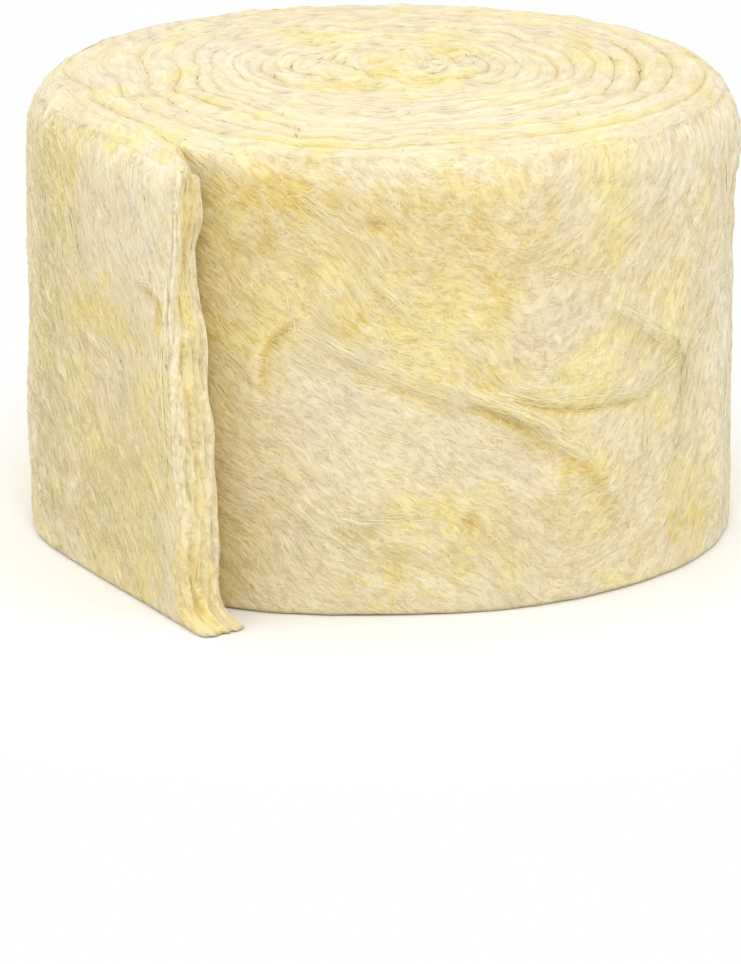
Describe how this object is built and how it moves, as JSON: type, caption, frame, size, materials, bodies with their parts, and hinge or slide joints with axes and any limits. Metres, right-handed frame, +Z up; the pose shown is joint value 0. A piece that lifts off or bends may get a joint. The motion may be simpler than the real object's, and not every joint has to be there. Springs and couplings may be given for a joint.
{
  "type": "glass wool insulation roll",
  "caption": "Unfaced glass wool blanket wound shut into a squat roll standing on its slit edge, with its turns showing on both ends and a loose tail leaving a wedge gap at the front left",
  "frame": {"origin": "on the floor, on the axis that the blanket is wound round, in the middle of the flat land at the core's lower end", "axes": "+Z up along the roll's axis; +X to the right and +Y to the back of the roll as it is seen with its loose tail at the front left"},
  "size_m": [0.2325, 0.2513, 0.1524],
  "materials": {
    "glass_wool": "matt, matted long glass fibres bound with a pale yellow resin, mottled cream, yellow and pinkish grey, with loose wisps"
  },
  "bodies": {
    "root": {"wound_blanket": "glass_wool"}
  },
  "joints": []
}
